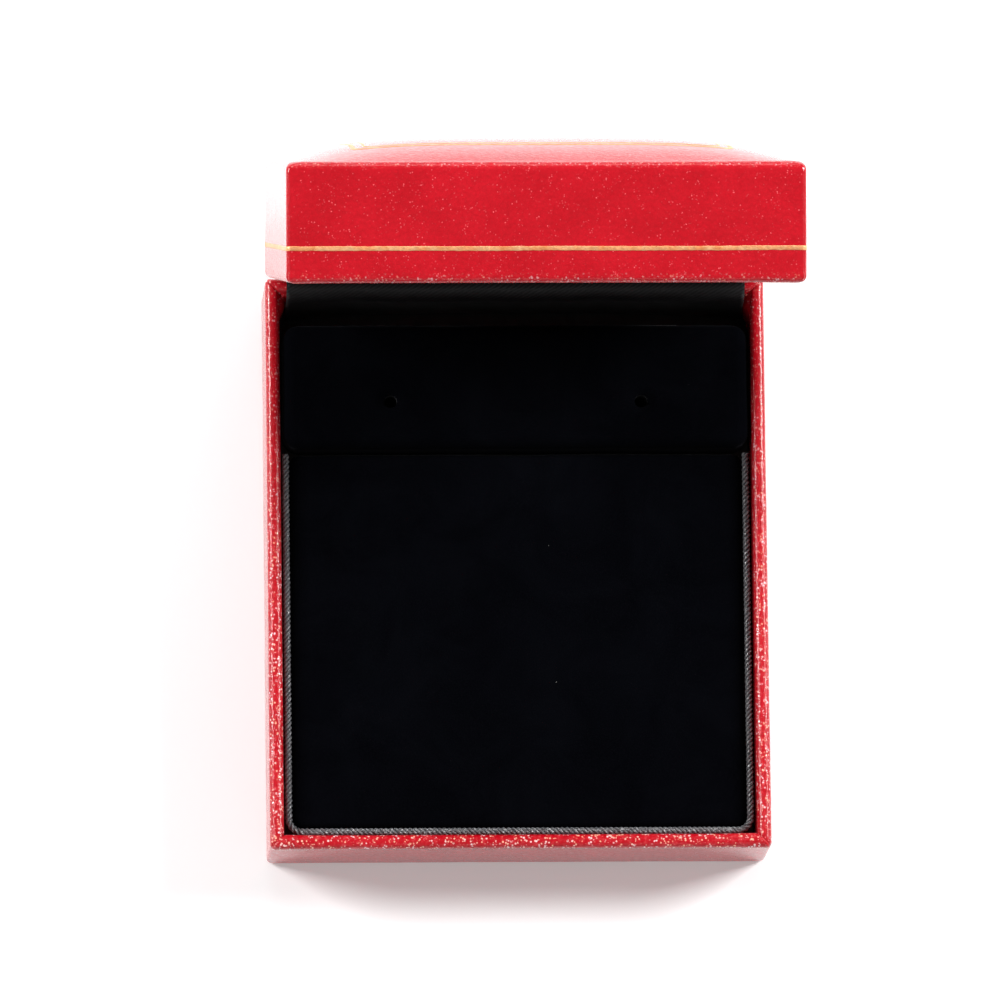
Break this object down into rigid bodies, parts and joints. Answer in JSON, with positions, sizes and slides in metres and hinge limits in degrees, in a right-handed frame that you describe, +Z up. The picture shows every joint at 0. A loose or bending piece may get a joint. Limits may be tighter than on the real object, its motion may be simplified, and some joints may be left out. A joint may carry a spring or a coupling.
{
  "type": "jewellery box",
  "caption": "Open rectangular hinged jewellery box in leatherette, with a padded lid, a corded velvet necklace panel and a raised lifting pad for stud earrings.",
  "frame": {"origin": "middle of the underside of the base", "axes": "+X across the box to the right as the open box faces you, +Y from the front to the hinge side, +Z up"},
  "size_m": [0.0922, 0.1294, 0.1281],
  "materials": {
    "moulding": "moulded, unpainted",
    "red_leatherette": "glossy red leatherette with a fine grain and a faint sparkle",
    "black_paper": "matt black",
    "grey_card": "plain charcoal board",
    "foam": "charcoal open-cell foam",
    "black_velvet": "short black pile",
    "black_cord": "twisted grey-black cord with a sheen",
    "cloth_tape": "woven black tape",
    "plated_steel": "yellow-plated steel",
    "spring_steel": "tempered strip",
    "black_satin": "black satin",
    "gold_foil": "gilt foil"
  },
  "bodies": {
    "base": {"base_shell": "moulding", "base_cover": "red_leatherette", "under_sheet": "black_paper", "insert_frame": "grey_card", "panel_card": "grey_card", "panel_foam": "foam", "panel_velvet": "black_velvet", "panel_cord": "black_cord", "hinge_base_leaf": "plated_steel", "hinge_pin": "plated_steel", "base_tacks": "plated_steel", "hinge_spring": "spring_steel", "hinge_satin": "black_satin", "pad_tape": "cloth_tape"},
    "lid": {"lid_shell": "moulding", "lid_cover": "red_leatherette", "crown_foam": "foam", "gold_band": "gold_foil", "gold_top_rules": "gold_foil", "lining_card": "grey_card", "lining_foam": "foam", "lining_satin": "black_satin", "hinge_lid_leaf": "plated_steel", "lid_tacks": "plated_steel"},
    "stud_pad": {"pad_card": "grey_card", "pad_foam": "foam", "pad_velvet": "black_velvet"}
  },
  "joints": [
    {"name": "lid_hinge", "type": "hinge", "parent": "base", "child": "lid", "pos_m": [0, 0.053, 0.02015], "axis": [1, 0, 0], "range_deg": [0, 79], "deforming": ["hinge_satin", "hinge_spring"]},
    {"name": "pad_lift", "type": "hinge", "parent": "base", "child": "stud_pad", "pos_m": [0, 0.0445, 0.0122], "axis": [-1, 0, 0], "range_deg": [0, 25], "deforming": ["pad_tape"]}
  ]
}
